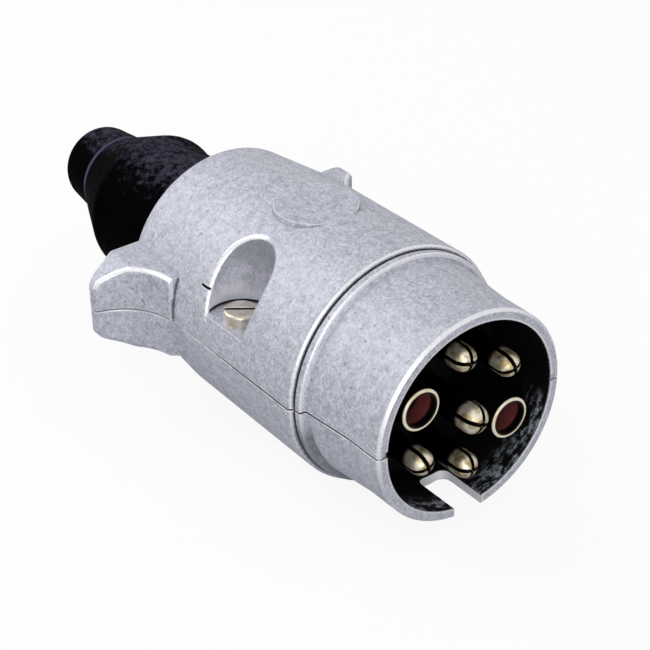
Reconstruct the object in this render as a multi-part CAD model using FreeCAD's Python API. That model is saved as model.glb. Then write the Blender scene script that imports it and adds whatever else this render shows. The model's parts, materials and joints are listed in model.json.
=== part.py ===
import FreeCAD, Part
import math
import os

# Seven-contact round trailer plug: two cast shell halves that part on a level plane, a moulded
# contact carrier inside the mouth, a cable clamp, and a rubber boot over the cable's way in.
#
# Millimetres. The origin is the centre of the mouth's rim. +X runs along the plug's axis out of
# the mouth, +Y is sideways towards one finger ear, +Z is up, and the shells part at z = 0.

# --- Shroud: the front of both shells, which enters the socket -------------------------------
MOUTH_R = 21.5            # outside radius at the mouth
SHROUD_WALL = 2.1         # wall at the mouth
RIM_BEVEL = 0.5           # bevel round the outside of the rim
RIM_ROUND = 0.15          # rounding of the bevel's edges
SPIGOT_LENGTH = 8.0       # stretch behind the bevel that keeps the mouth's radius
SHROUD_ROOT_R = 22.4      # outside radius where the shroud meets the bead
SHROUD_LENGTH = 20.0
KEYWAY_WIDTH = 6.8        # slot in the underside that a key in the socket enters
KEYWAY_LENGTH = 11.3
KEYWAY_CORNER = 1.9

# --- Body of the shells --------------------------------------------------------------------
BEAD_R = 23.7             # raised bead between the shroud and the body
BEAD_LENGTH = 1.6
BEAD_ROUND = 0.25         # rounding of the bead's edges
BEAD_FILLET = 0.5         # hollow corner between the shroud and the bead
GROOVE_LENGTH = 0.3       # narrow groove between the bead and the body
GROOVE_DEPTH = 0.8        # its floor, below the bead
BODY_R = 24.6             # outside radius behind the groove
BODY_BEVEL = 0.6          # bevel round the body's front edge
BODY_REAR_R = 24.25       # where the body starts to draw in
BODY_REAR_X = -60.0
BODY_REAR_ROUND = 8.0
WAIST_R = 22.3            # outside radius ahead of the rear face
SHELL_LENGTH = 79.2       # mouth to rear face
REAR_ROUND = 1.4          # rounding of the rear face's edge
PAD_R = 8.3               # flat round pad, sunk almost flush in the top of the body
PAD_X = -46.0
PAD_HEIGHT = 24.3         # height of the pad's face above the axis
SEAM_WIDTH = 0.3          # open joint that runs round the outside where the shells part
SEAM_DEPTH = 0.35
NICK_X = (-53.8, -50.9)   # short slit in the upper shell beside its screw pocket
NICK_WIDTH = 0.5
NICK_DEPTH = 0.7          # below the body's full radius
NICK_ANGLE = 153.3        # round the plug's axis, from +Y
RELIEF_X = -59.5          # shallow hollow in the lower shell ahead of the long ear
RELIEF_R = 4.0
RELIEF_FLOOR_R = 23.4
RELIEF_LENGTH = 16.0
RELIEF_ANGLE = 192.0

# --- Finger ears ---------------------------------------------------------------------------
LONG_EAR_REACH = 34.6     # from the axis to the tip of the ear on the -Y side
LONG_EAR_TIP_X = -75.1    # back of its tip
LONG_EAR_BACK_X = -77.8
LONG_EAR_BACK_Y = 27.5    # where its back turns in towards the tip
LONG_EAR_SCOOP_X = -61.0  # axis of its hollow front face
LONG_EAR_SCOOP_Y = 36.9
LONG_EAR_SHOULDER_Y = 27.5  # where its height starts to fall
LONG_EAR_CORNER = 3.6     # rounding of its tip's upper and lower corners
SHORT_EAR_REACH = 31.2    # the same sizes of the ear on the +Y side
SHORT_EAR_TIP_X = -78.3
SHORT_EAR_BACK_X = -78.9
SHORT_EAR_BACK_Y = 28.6
SHORT_EAR_SCOOP_X = -64.5
SHORT_EAR_SCOOP_Y = 37.5
SHORT_EAR_SHOULDER_Y = 29.8
SHORT_EAR_CORNER = 1.5
EAR_SCOOP_R = 12.2        # the hollow front is an arc about an upright line
EAR_TIP_ROUND = 0.8
EAR_BACK_ROUND = 2.0
EAR_HEIGHT = 9.3          # half height over most of its reach
EAR_FALL = 0.44           # fall of the half height towards the tip, per length of reach
EAR_EDGE = 1.2            # rounding along the scoop's edges

# --- Inside of the shells -------------------------------------------------------------------
BODY_WALL = 3.2
CARRIER_SEAT_X = -22.9    # front of the groove that traps the carrier and its retainer
SEAT_RIB = 2.8            # ring that closes the groove behind the retainer
REAR_BORE_R = 17.5        # cavity over the boot's flange
REAR_BORE_LENGTH = 6.0
REAR_LIP = 3.2            # thickness of the rear wall
REAR_OPENING_R = 13.2     # hole in the rear wall for the boot
TONGUE_WIDTH = 1.0        # lip on the lower shell that locates the upper one
TONGUE_HEIGHT = 1.0

# --- Shell screws ---------------------------------------------------------------------------
SHELL_SCREW_X = -44.6
SHELL_SCREW_Y = 19.1
POCKET_R = 6.8            # round pocket over the screw's head
POCKET_FLOOR = 6.3        # its floor, above the parting plane
POCKET_WALL = 1.8
POCKET_RIM = 0.9          # rounding of the pocket's rim
BOSS_R = 5.6              # threaded boss in the shell opposite
SHELL_SCREW_R = 2.0
SHELL_SCREW_HEAD_R = 3.4
SHELL_SCREW_HEAD_HEIGHT = 2.5
SHELL_SCREW_REACH = 9.0   # depth of the screw's tip past the parting plane
SHELL_SLOT_TURN = 52.6    # direction of the driver slot, from +X

# --- Every screw, as shares of its own sizes ---------------------------------------------------
HEAD_ROUND = 0.25         # rounding of the head's edge, of its height
DRIVER_SLOT_WIDTH = 0.25  # of the head's radius
DRIVER_SLOT_DEPTH = 0.45  # of the head's height
SHANK_ROUND = 0.33        # rounding of the shank's end, of its radius

# --- Contact carrier and retainer -------------------------------------------------------------
CARRIER_FACE_X = -15.0    # front face, deep in the mouth
FLANGE_THICKNESS = 2.5
FLANGE_STEP = 1.2         # radius of the flange beyond the carrier's body
RETAINER_THICKNESS = 2.4
CARRIER_KEY_WIDTH = 3.0   # key on the flange that stops the carrier turning
CARRIER_KEY_HEIGHT = 1.0
CENTRE_RAISE = 0.8        # raised island round the centre contact
CENTRE_RAISE_R = 5.0
CENTRE_RAISE_EDGE = 0.4
CARRIER_EDGE = 0.6

# --- Contacts --------------------------------------------------------------------------------
CONTACT_CIRCLE_R = 12.0
CONTACT_TURN = 3.0        # the ring stands a little turned against the keyway
PIN_R = 2.5
PIN_NECK = 1.0            # length of the undercut in front of the carrier
PIN_STEP = 0.2            # depth of the undercut, and of the step up inside the carrier
PIN_TIP_X = 0.3           # dome of the outer pins
CENTRE_PIN_R = 2.85
CENTRE_PIN_TIP_X = 3.1
PIN_SLOT_WIDTH = 0.8
PIN_SLOT_DEPTH = 7.0
PIN_DOME = 0.97           # rounding of the tip, as a share of the pin's radius
SOCKET_R = 4.2            # outside of the tube contacts
SOCKET_BORE_R = 3.3
SOCKET_TIP_X = -1.3
SOCKET_DEPTH = 12.0
SOCKET_EDGE = 0.3
COLLAR_STEP = 1.1         # shoulder that stops a contact against the carrier
COLLAR_LENGTH = 5.0
COLLAR_EDGE = 0.2
BARREL_R = 3.25           # terminal behind the retainer
BARREL_EDGE = 0.4
BARREL_END_X = -36.5
CENTRE_BARREL_END_X = -44.0
WIRE_BORE_R = 1.9
WIRE_BORE_DEPTH = 8.0

# --- Terminal screws -------------------------------------------------------------------------
TERMINAL_SCREW_R = 1.5
TERMINAL_HEAD_R = 2.4
TERMINAL_HEAD_HEIGHT = 1.8
TERMINAL_HEAD_LIFT = 0.35  # gap left under the head by an empty terminal
TERMINAL_SETBACK = 4.0     # from a barrel's end to its screw
TERMINAL_SLOT_TURN = 25.0  # each slot stands this much further round than the one before

# --- Cable clamp -----------------------------------------------------------------------------
CABLE_R = 4.0             # room that the clamp and its saddle leave for the cable
CLAMP_X = -66.5
CLAMP_WIDTH = 6.0
CLAMP_THICKNESS = 2.0
CLAMP_SEAT_Z = -1.0       # top of the posts in the lower shell
CLAMP_SCREW_Y = 9.5
CLAMP_FOOT = 4.0          # from a screw to the end of the strap
CLAMP_POST = 4.5          # from a screw to the side of its post
CLAMP_LEDGE = 0.5         # the posts stand out this much ahead of and behind the strap
CLAMP_SCREW_R = 1.5
CLAMP_HEAD_R = 2.7
CLAMP_HEAD_HEIGHT = 2.1
CLAMP_SCREW_LENGTH = 9.0
CLAMP_SLOT_TURN = 35.0    # the two driver slots lean this much off the plug's axis

# --- Cable boot ------------------------------------------------------------------------------
BOOT_R = 16.2             # full part, where it leaves the shells
BOOT_FULL_R = 16.5        # and where the cone starts
BOOT_FULL_LENGTH = 25.0
BOOT_WALL = 2.1
BOOT_FLANGE_THICKNESS = 3.4
BOOT_FLANGE_EDGE = 0.6
BOOT_FOOT_ROUND = 0.8     # where it meets the shells' rear face
BOOT_FULL_ROUND = 9.0     # where the full part turns into the cone
BOOT_CREASE_ROUND = 1.2
BOOT_SHOULDER_ROUND = 4.3
BOOT_EDGE = 1.0           # rounding of the end and of the inner corners
BOOT_CONE_LENGTH = 14.4
BOOT_CREASE_R = 9.85      # faint crease between the cone and the end
BOOT_SHOULDER_LENGTH = 9.9  # from the crease to where the end closes in on the cable
BOOT_SHOULDER_R = 8.85
BOOT_END_LENGTH = 14.35
BOOT_END_R = 5.0
BOOT_BORE_R = 3.7         # cable's way in
BOOT_BORE_LENGTH = 16.0

# --- Clearances ------------------------------------------------------------------------------
FIT = 0.1                 # moulded or cast pieces that locate one another
THREAD_FIT = 0.05         # a screw in its thread
SCREW_HOLE_FIT = 0.2      # a screw through a plain hole

# --- Sizes that follow -------------------------------------------------------------------------
MOUTH_BORE_R = MOUTH_R - SHROUD_WALL
CARRIER_R = MOUTH_BORE_R - FIT
FLANGE_R = CARRIER_R + FLANGE_STEP
FLANGE_REAR_X = CARRIER_SEAT_X - FLANGE_THICKNESS
SEAT_END_X = FLANGE_REAR_X - RETAINER_THICKNESS
BEAD_X = -SHROUD_LENGTH
GROOVE_X = BEAD_X - BEAD_LENGTH
BODY_X = GROOVE_X - GROOVE_LENGTH
REAR_X = -SHELL_LENGTH
REAR_LIP_X = REAR_X + REAR_LIP
CAVITY_R = BODY_REAR_R - BODY_WALL
BOOT_CONE_X = REAR_X - BOOT_FULL_LENGTH
BOOT_CREASE_X = BOOT_CONE_X - BOOT_CONE_LENGTH
BOOT_END_X = BOOT_CREASE_X - BOOT_END_LENGTH

X_AXIS = FreeCAD.Vector(1, 0, 0)
Z_AXIS = FreeCAD.Vector(0, 0, 1)
ORIGIN = FreeCAD.Vector(0, 0, 0)


def rounded_face(corners):
    """Face in the XY plane from (x, y, rounding) corners, each corner a tangent arc."""
    count = len(corners)
    starts, ends, middles = [], [], []
    for index, (x, y, rounding) in enumerate(corners):
        point = FreeCAD.Vector(x, y, 0)
        before = FreeCAD.Vector(*corners[index - 1][:2], 0).sub(point).normalize()
        after = FreeCAD.Vector(*corners[(index + 1) % count][:2], 0).sub(point).normalize()
        if rounding == 0:
            starts.append(point)
            middles.append(None)
            ends.append(point)
            continue
        half = before.getAngle(after) / 2
        reach = rounding / math.tan(half)
        bisector = before.add(after).normalize()
        starts.append(point + before * reach)
        middles.append(point + bisector * (rounding / math.sin(half) - rounding))
        ends.append(point + after * reach)
    edges = []
    for index in range(count):
        if middles[index] is not None:
            edges.append(Part.Arc(starts[index], middles[index], ends[index]).toShape())
        following = starts[(index + 1) % count]
        if ends[index].distanceToPoint(following) > 1e-6:
            edges.append(Part.LineSegment(ends[index], following).toShape())
    return Part.Face(Part.Wire(edges))


def revolved(corners):
    """Solid of revolution about the plug's axis from (x, radius, rounding) corners."""
    return rounded_face(corners).revolve(ORIGIN, X_AXIS, 360)


def tube_along_x(radius, x_from, x_to):
    """Cylinder on the plug's axis between two stations."""
    return Part.makeCylinder(radius, abs(x_to - x_from), FreeCAD.Vector(min(x_from, x_to), 0, 0), X_AXIS)


def block(x_from, x_to, y_from, y_to, z_from, z_to):
    """Box between two corners."""
    corner = FreeCAD.Vector(x_from, y_from, z_from)
    return Part.makeBox(x_to - x_from, y_to - y_from, z_to - z_from, corner)


def half_space(side):
    """Block that holds the half of the plug above (side 1) or below (side -1) the parting plane."""
    reach = SHELL_LENGTH + BODY_R
    low, high = (0, reach) if side > 0 else (-reach, 0)
    return block(-reach, reach, -reach, reach, low, high)


# --- Shells ----------------------------------------------------------------------------------

def shell_envelope():
    """Outside of both shells without the ears: shroud, bead, groove, body and rear face."""
    return revolved([
        (0, 0, 0),
        (0, MOUTH_R - RIM_BEVEL, RIM_ROUND),
        (-RIM_BEVEL, MOUTH_R, RIM_ROUND),
        (-RIM_BEVEL - SPIGOT_LENGTH, MOUTH_R, 0),
        (BEAD_X, SHROUD_ROOT_R, BEAD_FILLET),
        (BEAD_X, BEAD_R, BEAD_ROUND),
        (GROOVE_X, BEAD_R, BEAD_ROUND),
        (GROOVE_X, BEAD_R - GROOVE_DEPTH, 0),
        (BODY_X, BEAD_R - GROOVE_DEPTH, 0),
        (BODY_X, BODY_R - BODY_BEVEL, RIM_ROUND),
        (BODY_X - BODY_BEVEL, BODY_R, RIM_ROUND),
        (BODY_REAR_X, BODY_REAR_R, BODY_REAR_ROUND),
        (REAR_X, WAIST_R, REAR_ROUND),
        (REAR_X, 0, 0),
    ])


def top_pad():
    """Flat round pad that stands out of the body's top."""
    return Part.makeCylinder(PAD_R, PAD_HEIGHT - CAVITY_R / 2, FreeCAD.Vector(PAD_X, 0, CAVITY_R / 2))


def ear_plan(reach, tip_x, back_x, back_y, scoop_x):
    """Upright block with an ear's outline from above, before its height is trimmed."""
    plan = rounded_face([
        (scoop_x, 0, 0),
        (scoop_x, reach, 0),
        (tip_x, reach, EAR_TIP_ROUND),
        (back_x, back_y, EAR_BACK_ROUND),
        (back_x, 0, 0),
    ])
    plan.translate(Z_AXIS * -EAR_HEIGHT)
    return plan.extrude(Z_AXIS * (2 * EAR_HEIGHT))


def ear_height(reach, shoulder_y, corner):
    """Block along the plug with an ear's outline from the front."""
    tip_height = EAR_HEIGHT - EAR_FALL * (reach - shoulder_y)
    face = rounded_face([
        (0, -EAR_HEIGHT, 0),
        (shoulder_y, -EAR_HEIGHT, corner),
        (reach, -tip_height, corner),
        (reach, tip_height, corner),
        (shoulder_y, EAR_HEIGHT, corner),
        (0, EAR_HEIGHT, 0),
    ])
    face.rotate(ORIGIN, X_AXIS, 90)
    face.rotate(ORIGIN, Z_AXIS, 90)
    return face.extrude(X_AXIS * -SHELL_LENGTH)


def on_scoop(edge, scoop_x, scoop_y):
    """Whether an edge runs along an ear's hollow front face and not up its root."""
    points = edge.discretize(Number=5)
    if abs(points[0].x - points[-1].x) < EAR_EDGE:
        return False
    reaches = [math.hypot(point.x - scoop_x, point.y - scoop_y) for point in points]
    return all(abs(reach - EAR_SCOOP_R) < EAR_EDGE / 10 for reach in reaches)


def finger_ear(plan, height, scoop_x, scoop_y):
    """One ear on the +Y side from its two outlines, with a hollow front and softened edges."""
    scoop = Part.makeCylinder(EAR_SCOOP_R, 2 * EAR_HEIGHT, FreeCAD.Vector(scoop_x, scoop_y, -EAR_HEIGHT))
    ear = plan.cut(scoop).common(height)
    return ear.makeFillet(EAR_EDGE, [edge for edge in ear.Edges if on_scoop(edge, scoop_x, scoop_y)])


def ear_pair():
    """The two finger ears; the one on the +Y side is shorter and stands further back."""
    plan = ear_plan(LONG_EAR_REACH, LONG_EAR_TIP_X, LONG_EAR_BACK_X, LONG_EAR_BACK_Y, LONG_EAR_SCOOP_X)
    height = ear_height(LONG_EAR_REACH, LONG_EAR_SHOULDER_Y, LONG_EAR_CORNER)
    long_ear = finger_ear(plan, height, LONG_EAR_SCOOP_X, LONG_EAR_SCOOP_Y)
    plan = ear_plan(SHORT_EAR_REACH, SHORT_EAR_TIP_X, SHORT_EAR_BACK_X, SHORT_EAR_BACK_Y,
                    SHORT_EAR_SCOOP_X)
    height = ear_height(SHORT_EAR_REACH, SHORT_EAR_SHOULDER_Y, SHORT_EAR_CORNER)
    short_ear = finger_ear(plan, height, SHORT_EAR_SCOOP_X, SHORT_EAR_SCOOP_Y)
    return short_ear.fuse(long_ear.mirror(ORIGIN, FreeCAD.Vector(0, 1, 0)))


def seam_groove(outside):
    """Shallow groove round the whole outline at the height where the shells part."""
    outline = Part.Face(outside.slice(Z_AXIS, 0))
    groove = outline.cut(outline.makeOffset2D(-SEAM_DEPTH))
    groove.translate(Z_AXIS * (-SEAM_WIDTH / 2))
    return groove.extrude(Z_AXIS * SEAM_WIDTH)


def cavity(growth=0):
    """Hollow inside both shells, grown outwards by a wall's share where asked."""
    return revolved([
        (RIM_BEVEL, 0, 0),
        (RIM_BEVEL, MOUTH_BORE_R + growth, 0),
        (CARRIER_SEAT_X + growth, MOUTH_BORE_R + growth, 0),
        (CARRIER_SEAT_X + growth, FLANGE_R + FIT + growth, 0),
        (SEAT_END_X - growth, FLANGE_R + FIT + growth, 0),
        (SEAT_END_X - growth, MOUTH_BORE_R + growth, 0),
        (SEAT_END_X - SEAT_RIB + growth, MOUTH_BORE_R + growth, 0),
        (SEAT_END_X - SEAT_RIB + growth, CAVITY_R + growth, 0),
        (BODY_REAR_X, CAVITY_R + growth, 0),
        (REAR_LIP_X + REAR_BORE_LENGTH, REAR_BORE_R + growth, 0),
        (REAR_LIP_X, REAR_BORE_R + growth, 0),
        (REAR_LIP_X, REAR_OPENING_R + growth, 0),
        (REAR_X - RIM_BEVEL, REAR_OPENING_R + growth, 0),
        (REAR_X - RIM_BEVEL, 0, 0),
    ])


def split_tongue(clearance=0):
    """Lip along the inner edge of the parting plane, broken at the screws' bosses."""
    margin = 0 if clearance else SEAM_DEPTH
    slab = block(REAR_X + margin, -margin, -BODY_R, BODY_R, 0, TONGUE_HEIGHT + clearance)
    lip = cavity(TONGUE_WIDTH + clearance).cut(cavity()).common(slab)
    for side in (-1, 1):
        lip = lip.cut(screw_axis_cylinder(BOSS_R - clearance, -BODY_R, BODY_R, side))
    return lip


def keyway():
    """Slot through the underside of the shroud, open at the rim."""
    outline = rounded_face([
        (RIM_BEVEL, -KEYWAY_WIDTH / 2, 0),
        (-KEYWAY_LENGTH, -KEYWAY_WIDTH / 2, KEYWAY_CORNER),
        (-KEYWAY_LENGTH, KEYWAY_WIDTH / 2, KEYWAY_CORNER),
        (RIM_BEVEL, KEYWAY_WIDTH / 2, 0),
    ])
    return outline.extrude(Z_AXIS * -BODY_R)


def screw_axis_cylinder(radius, z_from, z_to, side):
    """Cylinder on a shell screw's axis; side 1 is the screw that goes in from above."""
    base = FreeCAD.Vector(SHELL_SCREW_X, -SHELL_SCREW_Y, z_from)
    shape = Part.makeCylinder(radius, z_to - z_from, base)
    if side < 0:
        shape.rotate(ORIGIN, X_AXIS, 180)
    return shape


def on_pocket_rim(edge, side):
    """Whether an edge is where a screw's pocket breaks out of the shell above its floor."""
    points = [edge.valueAt(share) for share in edge.ParameterRange] + edge.discretize(Number=5)
    heights = [point.z * side for point in points]
    if max(heights) - min(heights) < POCKET_RIM or min(heights) < POCKET_FLOOR - FIT:
        return False
    reaches = [math.hypot(point.x - SHELL_SCREW_X, point.y + side * SHELL_SCREW_Y) for point in points]
    return all(abs(reach - POCKET_R) < FIT / 10 for reach in reaches)


def shell_half(outside, side):
    """One shell before its own details: wall, pocket for its screw, boss for the other's."""
    solid = outside.common(half_space(side))
    shell = solid.cut(cavity())
    column = screw_axis_cylinder(POCKET_R + POCKET_WALL, 0, BODY_R, side)
    boss = screw_axis_cylinder(BOSS_R, -BODY_R, 0, -side)
    shell = shell.fuse(solid.common(column)).fuse(solid.common(boss))
    pocket = screw_axis_cylinder(POCKET_R, POCKET_FLOOR, BODY_R, side)
    near_hole = screw_axis_cylinder(SHELL_SCREW_R + SCREW_HOLE_FIT, 0, POCKET_FLOOR, side)
    hole_end = -SHELL_SCREW_REACH - 2 * TONGUE_HEIGHT
    thread = screw_axis_cylinder(SHELL_SCREW_R + THREAD_FIT, hole_end, 0, -side)
    shell = shell.cut(pocket)
    shell = shell.makeFillet(POCKET_RIM, [edge for edge in shell.Edges if on_pocket_rim(edge, side)])
    return shell.cut(near_hole).cut(thread).cut(seam_groove(outside))


def pocket_nick():
    """Cutter for the slit beside the upper screw's pocket."""
    x_from, x_to = NICK_X
    slit = block(x_from, x_to, BODY_R - NICK_DEPTH, BODY_R, -NICK_WIDTH / 2, NICK_WIDTH / 2)
    slit.rotate(ORIGIN, X_AXIS, NICK_ANGLE)
    return slit


def ear_relief():
    """Cutter for the hollow ahead of the long ear, a shallow touch of a round cutter."""
    base = FreeCAD.Vector(RELIEF_X, RELIEF_FLOOR_R + RELIEF_R, -RELIEF_LENGTH / 2)
    cutter = Part.makeCylinder(RELIEF_R, RELIEF_LENGTH, base)
    cutter.rotate(ORIGIN, X_AXIS, RELIEF_ANGLE)
    return cutter


def upper_shell(outside):
    """Upper shell, rebated for the lower one's tongue."""
    return shell_half(outside, 1).cut(split_tongue(FIT)).cut(pocket_nick()).removeSplitter()


def clamp_posts():
    """Two posts in the lower shell under the clamp's feet, and a saddle between them."""
    half = CLAMP_WIDTH / 2 + CLAMP_LEDGE
    x_from = CLAMP_X - half
    x_to = CLAMP_X + half
    outer = CLAMP_SCREW_Y + CLAMP_POST
    inner = CLAMP_SCREW_Y - CLAMP_POST
    web = block(x_from, x_to, -outer, outer, -BODY_R, CLAMP_SEAT_Z)
    return web.cut(block(x_from, x_to, -inner, inner, -CABLE_R, 0))


def lower_shell(outside):
    """Lower shell with the keyway, the tongue, the carrier's key slot and the clamp's posts."""
    shell = shell_half(outside, -1).cut(ear_relief()).fuse(split_tongue())
    shell = shell.fuse(outside.common(clamp_posts())).cut(keyway()).cut(carrier_key(FIT))
    depth = CLAMP_SCREW_LENGTH + TONGUE_HEIGHT
    for side in (-1, 1):
        base = FreeCAD.Vector(CLAMP_X, side * CLAMP_SCREW_Y, CLAMP_SEAT_Z - depth)
        shell = shell.cut(Part.makeCylinder(CLAMP_SCREW_R + THREAD_FIT, depth, base))
    return shell.removeSplitter()


# --- Screws ----------------------------------------------------------------------------------

def slotted_screw(radius, length, head_radius, head_height, slot_turn):
    """Cheese-head screw standing on z = 0 under its head, with its shank pointing down."""
    corners = [
        (head_height, 0, 0),
        (head_height, head_radius, head_height * HEAD_ROUND),
        (0, head_radius, 0),
        (0, radius, 0),
        (-length, radius, radius * SHANK_ROUND),
        (-length, 0, 0),
    ]
    screw = revolved(corners)
    screw.rotate(ORIGIN, FreeCAD.Vector(0, 1, 0), -90)
    slot_width = head_radius * DRIVER_SLOT_WIDTH
    slot_depth = head_height * DRIVER_SLOT_DEPTH
    slot = block(-head_radius, head_radius, -slot_width / 2, slot_width / 2,
                 head_height - slot_depth, head_height)
    slot.rotate(ORIGIN, Z_AXIS, slot_turn)
    return screw.cut(slot)


def shell_screw(side):
    """Screw that draws the shells together, on its pocket's floor."""
    screw = slotted_screw(SHELL_SCREW_R, POCKET_FLOOR + SHELL_SCREW_REACH, SHELL_SCREW_HEAD_R,
                          SHELL_SCREW_HEAD_HEIGHT, SHELL_SLOT_TURN)
    screw.translate(FreeCAD.Vector(SHELL_SCREW_X, -SHELL_SCREW_Y, POCKET_FLOOR))
    if side < 0:
        screw.rotate(ORIGIN, X_AXIS, 180)
    return screw


def terminal_screw(angle, radius, x_end, slot_turn):
    """Screw of one terminal, pointing inwards along the line from the plug's axis."""
    lift = BARREL_R + TERMINAL_HEAD_LIFT
    screw = slotted_screw(TERMINAL_SCREW_R, lift - WIRE_BORE_R / 2, TERMINAL_HEAD_R,
                          TERMINAL_HEAD_HEIGHT, slot_turn)
    screw.translate(FreeCAD.Vector(x_end + TERMINAL_SETBACK, 0, radius + lift))
    screw.rotate(ORIGIN, X_AXIS, angle - 90)
    return screw


def clamp_screw(side):
    """Screw of the cable clamp, down through the strap into its post."""
    screw = slotted_screw(CLAMP_SCREW_R, CLAMP_THICKNESS + CLAMP_SCREW_LENGTH, CLAMP_HEAD_R,
                          CLAMP_HEAD_HEIGHT, 90 + side * (90 - CLAMP_SLOT_TURN))
    screw.translate(FreeCAD.Vector(CLAMP_X, side * CLAMP_SCREW_Y, CLAMP_SEAT_Z + CLAMP_THICKNESS))
    return screw


# --- Contacts --------------------------------------------------------------------------------

def contact_place(angle, radius):
    """Where a contact's axis crosses the mouth's plane."""
    turn = math.radians(angle)
    return FreeCAD.Vector(0, radius * math.cos(turn), radius * math.sin(turn))


def contact_blank(corners, root_radius, barrel_end):
    """Turned contact: a given front, the shoulder inside the carrier and the terminal barrel."""
    collar_r = root_radius + COLLAR_STEP
    collar_x = FLANGE_REAR_X + COLLAR_LENGTH
    blank = revolved(corners + [
        (collar_x, root_radius, 0),
        (collar_x, collar_r, COLLAR_EDGE),
        (FLANGE_REAR_X, collar_r, 0),
        (FLANGE_REAR_X, BARREL_R, 0),
        (barrel_end, BARREL_R, BARREL_EDGE),
        (barrel_end, 0, 0),
    ])
    wire_bore = tube_along_x(WIRE_BORE_R, barrel_end, barrel_end + WIRE_BORE_DEPTH)
    screw_hole = Part.makeCylinder(TERMINAL_SCREW_R + THREAD_FIT, BARREL_R + FIT,
                                   FreeCAD.Vector(barrel_end + TERMINAL_SETBACK, 0, 0))
    return blank.cut(wire_bore).cut(screw_hole)


def placed_contact(contact, angle, radius):
    """Turns a contact's screw hole outwards and moves it to its place."""
    contact.rotate(ORIGIN, X_AXIS, angle - 90)
    contact.translate(contact_place(angle, radius))
    return contact


def contact_pin(angle, radius, pin_r, tip_x, face_x, barrel_end, slot_turn):
    """Solid pin with a domed tip, cut crosswise so that it springs in its socket."""
    corners = [
        (tip_x, 0, 0),
        (tip_x, pin_r, pin_r * PIN_DOME),
        (face_x + PIN_NECK, pin_r, 0),
        (face_x + PIN_NECK, pin_r - PIN_STEP, 0),
        (face_x, pin_r - PIN_STEP, 0),
        (face_x, pin_r + PIN_STEP, 0),
    ]
    contact = contact_blank(corners, pin_r + PIN_STEP, barrel_end)
    for quarter in (0, 90):
        slot = block(tip_x - PIN_SLOT_DEPTH, tip_x, -pin_r, pin_r, -PIN_SLOT_WIDTH / 2, PIN_SLOT_WIDTH / 2)
        slot.rotate(ORIGIN, X_AXIS, quarter + slot_turn + 90 - angle)
        contact = contact.cut(slot)
    return placed_contact(contact, angle, radius)


def contact_socket(angle, radius):
    """Tube contact with a blind bore for a pin of the socket outside."""
    corners = [
        (SOCKET_TIP_X - SOCKET_DEPTH, 0, 0),
        (SOCKET_TIP_X - SOCKET_DEPTH, SOCKET_BORE_R, 0),
        (SOCKET_TIP_X, SOCKET_BORE_R, 0),
        (SOCKET_TIP_X, SOCKET_R, SOCKET_EDGE),
    ]
    return placed_contact(contact_blank(corners, SOCKET_R, BARREL_END_X), angle, radius)


def contact_layout():
    """Name, kind, angle, circle radius and slot turn of the seven contacts."""
    ring = CONTACT_CIRCLE_R
    turn = CONTACT_TURN
    return [
        ("contact_pin_top", "pin", 90 + turn, ring, -8),
        ("contact_pin_upper_right", "pin", 30 + turn, ring, 17),
        ("contact_socket_lower_right", "socket", -30 + turn, ring, 0),
        ("contact_pin_bottom", "pin", -90 + turn, ring, -8),
        ("contact_pin_lower_left", "pin", -150 + turn, ring, 17),
        ("contact_socket_upper_left", "socket", 150 + turn, ring, 0),
        ("contact_pin_centre", "centre", 90 + turn, 0, -22),
    ]


def contact_root_radius(kind):
    """Radius of a contact where it passes the carrier's front face."""
    return {"pin": PIN_R + PIN_STEP, "centre": CENTRE_PIN_R + PIN_STEP, "socket": SOCKET_R}[kind]


def contact(kind, angle, radius, slot_turn):
    """One contact at its place."""
    if kind == "socket":
        return contact_socket(angle, radius)
    if kind == "centre":
        return contact_pin(angle, radius, CENTRE_PIN_R, CENTRE_PIN_TIP_X, CARRIER_FACE_X + CENTRE_RAISE,
                           CENTRE_BARREL_END_X, slot_turn)
    return contact_pin(angle, radius, PIN_R, PIN_TIP_X, CARRIER_FACE_X, BARREL_END_X, slot_turn)


# --- Carrier and retainer -----------------------------------------------------------------------

def carrier_key(clearance=0):
    """Key under the carrier's flange; with a clearance, the slot that it sits in."""
    half = CARRIER_KEY_WIDTH / 2 + clearance
    top = -(FLANGE_R - CARRIER_KEY_HEIGHT)
    bottom = -(FLANGE_R + CARRIER_KEY_HEIGHT + clearance)
    return block(FLANGE_REAR_X, CARRIER_SEAT_X, -half, half, bottom, top)


def contact_carrier():
    """Moulded disc with a flange, a raised island and a stepped hole for each contact."""
    carrier = revolved([
        (CARRIER_FACE_X + CENTRE_RAISE, 0, 0),
        (CARRIER_FACE_X + CENTRE_RAISE, CENTRE_RAISE_R, CENTRE_RAISE_EDGE),
        (CARRIER_FACE_X, CENTRE_RAISE_R, 0),
        (CARRIER_FACE_X, CARRIER_R, CARRIER_EDGE),
        (CARRIER_SEAT_X, CARRIER_R, 0),
        (CARRIER_SEAT_X, FLANGE_R, 0),
        (FLANGE_REAR_X, FLANGE_R, 0),
        (FLANGE_REAR_X, 0, 0),
    ]).fuse(carrier_key())
    for _, kind, angle, radius, _ in contact_layout():
        root_r = contact_root_radius(kind)
        hole = tube_along_x(root_r + FIT, FLANGE_REAR_X, CARRIER_FACE_X + CENTRE_RAISE)
        seat = tube_along_x(root_r + COLLAR_STEP + FIT, FLANGE_REAR_X, FLANGE_REAR_X + COLLAR_LENGTH)
        cutter = hole.fuse(seat)
        cutter.translate(contact_place(angle, radius))
        carrier = carrier.cut(cutter)
    return carrier.removeSplitter()


def contact_retainer():
    """Plate behind the carrier that keeps the contacts' shoulders in their seats."""
    plate = tube_along_x(FLANGE_R, SEAT_END_X, FLANGE_REAR_X)
    for _, _, angle, radius, _ in contact_layout():
        hole = tube_along_x(BARREL_R + FIT, SEAT_END_X, FLANGE_REAR_X)
        hole.translate(contact_place(angle, radius))
        plate = plate.cut(hole)
    return plate


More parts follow.
